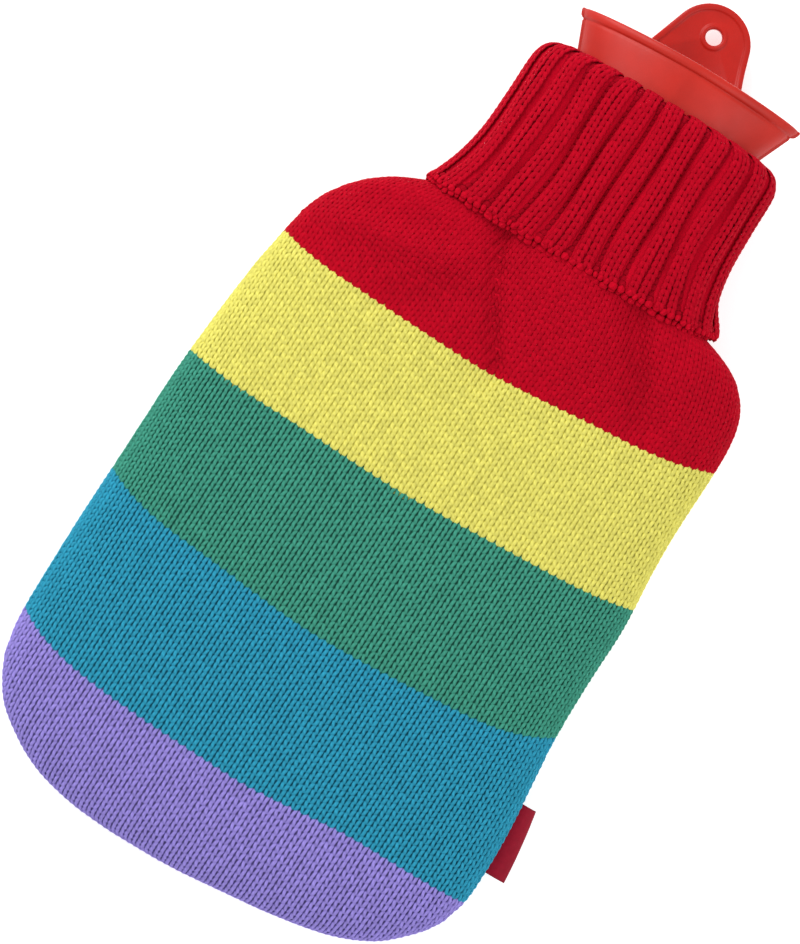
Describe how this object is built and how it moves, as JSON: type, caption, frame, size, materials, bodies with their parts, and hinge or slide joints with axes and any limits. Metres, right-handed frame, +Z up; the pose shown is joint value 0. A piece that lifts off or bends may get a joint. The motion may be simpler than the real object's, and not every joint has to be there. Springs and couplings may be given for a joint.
{
  "type": "hot water bottle with knitted cover",
  "caption": "Knitted sack in wide stripes with a turned-down ribbed collar, fitted over a flat rubber hot water bottle whose funnel and hanging tab stand out of the neck.",
  "frame": {"origin": "on the surface, under the middle of the flat patch that the cover lies on", "axes": "+Z up from the surface, +Y along the cover towards the neck, +X to the right as seen from above"},
  "size_m": [0.2135, 0.3954, 0.0552],
  "materials": {
    "knit_red": "matt plain and rib knit, crimson yarn",
    "knit_yellow": "matt plain knit, yellow yarn",
    "knit_green": "matt plain knit, green yarn",
    "knit_blue": "matt plain knit, blue yarn",
    "knit_lilac": "matt plain knit, lilac yarn",
    "rubber_red": "satin moulded rubber",
    "tab_red": "satin moulded rubber, a little darker",
    "label_red": "woven tape, bare"
  },
  "bodies": {
    "root": {"cover_body": "knit_green", "collar": "knit_red", "bottle": "rubber_red", "hang_tab": "tab_red", "side_label": "label_red"}
  },
  "joints": []
}
